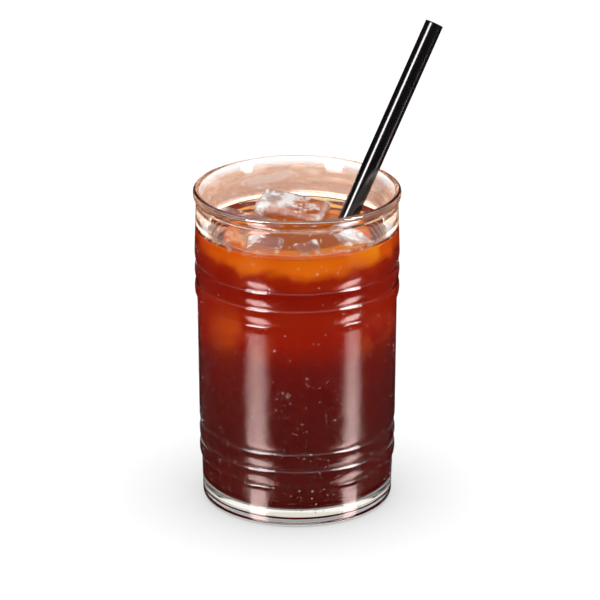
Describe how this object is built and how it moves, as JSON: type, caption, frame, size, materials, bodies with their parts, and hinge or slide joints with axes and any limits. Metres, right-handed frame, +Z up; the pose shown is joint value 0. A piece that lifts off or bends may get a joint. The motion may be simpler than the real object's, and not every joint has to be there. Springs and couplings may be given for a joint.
{
  "type": "iced coffee in a glass",
  "caption": "Iced black coffee in a straight-sided glass tumbler with two groups of rings, ice cubes at the surface and a straight black straw.",
  "frame": {"origin": "centre of the circle the tumbler stands on, in the plane of its foot", "axes": "+Z up along the tumbler's axis; +X to the side the straw leans to; -Y towards the viewer of the front"},
  "size_m": [0.0863, 0.072, 0.1677],
  "materials": {
    "glass": "clear, glossy, wet outside",
    "coffee": "clear dark amber liquid",
    "straw": "glossy black",
    "ice": "clear to frosted, wet"
  },
  "bodies": {
    "root": {"tumbler": "glass", "coffee": "coffee", "straw": "straw", "ice_back": "ice", "ice_left": "ice", "ice_front_left": "ice", "ice_front": "ice", "ice_front_right": "ice"}
  },
  "joints": []
}
